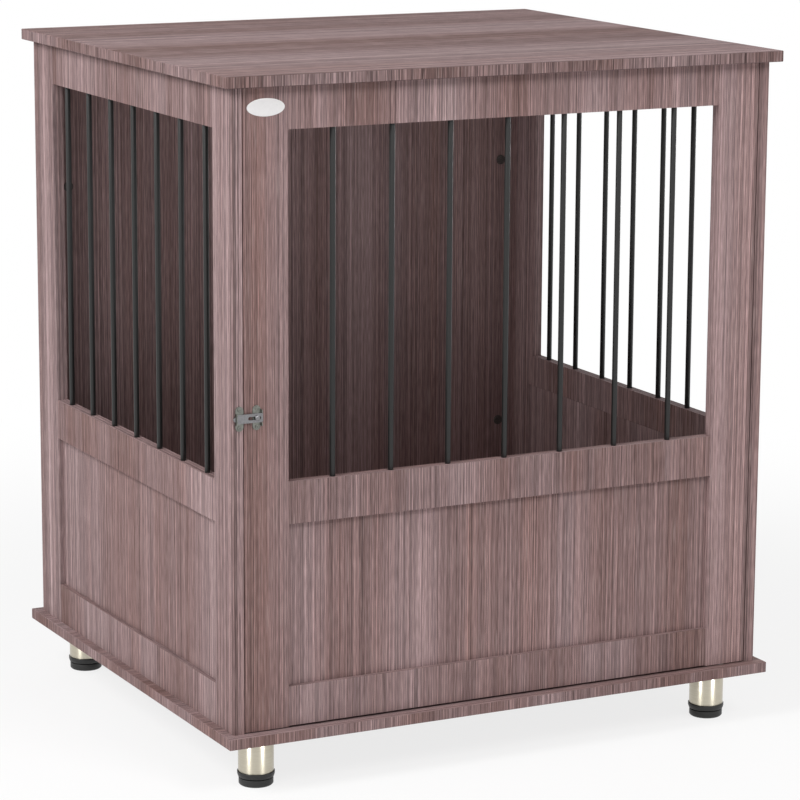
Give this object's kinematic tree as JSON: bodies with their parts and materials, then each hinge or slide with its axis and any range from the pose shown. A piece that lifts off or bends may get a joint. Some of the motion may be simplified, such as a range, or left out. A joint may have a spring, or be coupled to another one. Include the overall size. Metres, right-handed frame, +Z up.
{
  "type": "dog crate end table",
  "caption": "Square-edged cabinet on short round legs with barred windows in its sides and door, a solid back, an overhanging top and a slide latch.",
  "frame": {"origin": "On the floor, under the middle of the table", "axes": "+Z up, +X to the right of someone facing the door, +Y towards the back, so the door faces -Y"},
  "size_m": [0.66, 0.574, 0.754],
  "materials": {
    "laminate": "matt printed wood-grain laminate, grey-mauve walnut",
    "bar": "satin black powder coat",
    "leg_metal": "satin nickel plate",
    "latch_metal": "grey zinc plate",
    "plastic": "fine matt black"
  },
  "bodies": {
    "cabinet": {"table_top": "laminate", "base_board": "laminate", "back_panel": "laminate", "left_side_front_stile": "laminate", "left_side_rear_stile": "laminate", "left_side_top_rail": "laminate", "left_side_mid_rail": "laminate", "left_side_bottom_rail": "laminate", "left_side_panel": "laminate", "right_side_front_stile": "laminate", "right_side_rear_stile": "laminate", "right_side_top_rail": "laminate", "right_side_mid_rail": "laminate", "right_side_bottom_rail": "laminate", "right_side_panel": "laminate", "left_side_bar_1": "bar", "left_side_bar_2": "bar", "left_side_bar_3": "bar", "left_side_bar_4": "bar", "left_side_bar_5": "bar", "left_side_bar_6": "bar", "left_side_bar_7": "bar", "right_side_bar_1": "bar", "right_side_bar_2": "bar", "right_side_bar_3": "bar", "right_side_bar_4": "bar", "right_side_bar_5": "bar", "right_side_bar_6": "bar", "right_side_bar_7": "bar", "latch_keeper": "latch_metal", "front_left_leg_tube": "leg_metal", "front_right_leg_tube": "leg_metal", "back_left_leg_tube": "leg_metal", "back_right_leg_tube": "leg_metal", "front_left_leg_cap": "plastic", "front_right_leg_cap": "plastic", "back_left_leg_cap": "plastic", "back_right_leg_cap": "plastic"},
    "door": {"door_latch_stile": "laminate", "door_hinge_stile": "laminate", "door_top_rail": "laminate", "door_mid_rail": "laminate", "door_bottom_rail": "laminate", "door_panel": "laminate", "door_bar_1": "bar", "door_bar_2": "bar", "door_bar_3": "bar", "door_bar_4": "bar", "door_bar_5": "bar", "door_bar_6": "bar", "door_bar_7": "bar", "door_bottom_pivot": "latch_metal", "door_top_pivot": "latch_metal", "latch_plate": "latch_metal", "latch_rivet": "latch_metal"},
    "latch_slide": {"latch_bar": "latch_metal"},
    "front_left_glide": {"front_left_leg_glide": "plastic"},
    "front_right_glide": {"front_right_leg_glide": "plastic"},
    "back_left_glide": {"back_left_leg_glide": "plastic"},
    "back_right_glide": {"back_right_leg_glide": "plastic"}
  },
  "joints": [
    {"name": "door_hinge", "type": "hinge", "parent": "cabinet", "child": "door", "pos_m": [0.27875, -0.269, 0.067], "axis": [0, 0, 1], "range_deg": [0, 150]},
    {"name": "latch_bar_slide", "type": "slide", "parent": "door", "child": "latch_slide", "axis": [1, 0, 0], "range_m": [0, 0.0085]},
    {"name": "front_left_glide_screw", "type": "slide", "parent": "cabinet", "child": "front_left_glide", "axis": [0, 0, -1], "range_m": [0, 0.012]},
    {"name": "front_right_glide_screw", "type": "slide", "parent": "cabinet", "child": "front_right_glide", "axis": [0, 0, -1], "range_m": [0, 0.012]},
    {"name": "back_left_glide_screw", "type": "slide", "parent": "cabinet", "child": "back_left_glide", "axis": [0, 0, -1], "range_m": [0, 0.012]},
    {"name": "back_right_glide_screw", "type": "slide", "parent": "cabinet", "child": "back_right_glide", "axis": [0, 0, -1], "range_m": [0, 0.012]}
  ]
}
